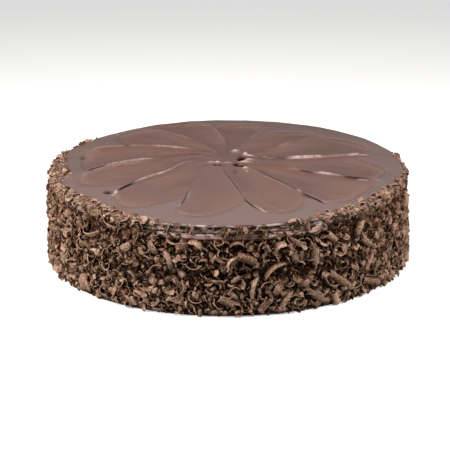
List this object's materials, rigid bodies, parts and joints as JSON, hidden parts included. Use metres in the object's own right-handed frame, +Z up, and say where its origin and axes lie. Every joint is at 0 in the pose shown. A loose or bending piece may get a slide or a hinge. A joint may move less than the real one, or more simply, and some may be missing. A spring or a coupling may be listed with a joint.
{
  "type": "chocolate cake",
  "caption": "Whole round chocolate cake, its side coated with chocolate shavings and its glossy icing spread in curved petal strokes with small peaks near the middle.",
  "frame": {"origin": "centre of the cake's foot, on the surface it stands on", "axes": "+Z up through the cake, -Y towards the side with the largest curls, +X to that side's right"},
  "size_m": [0.235, 0.235, 0.0604],
  "materials": {
    "shaved_chocolate": "dull brown milk chocolate shavings over dark frosting",
    "chocolate_icing": "satin gloss chocolate icing"
  },
  "bodies": {
    "root": {"cake_body": "shaved_chocolate", "icing_top": "chocolate_icing"}
  },
  "joints": []
}
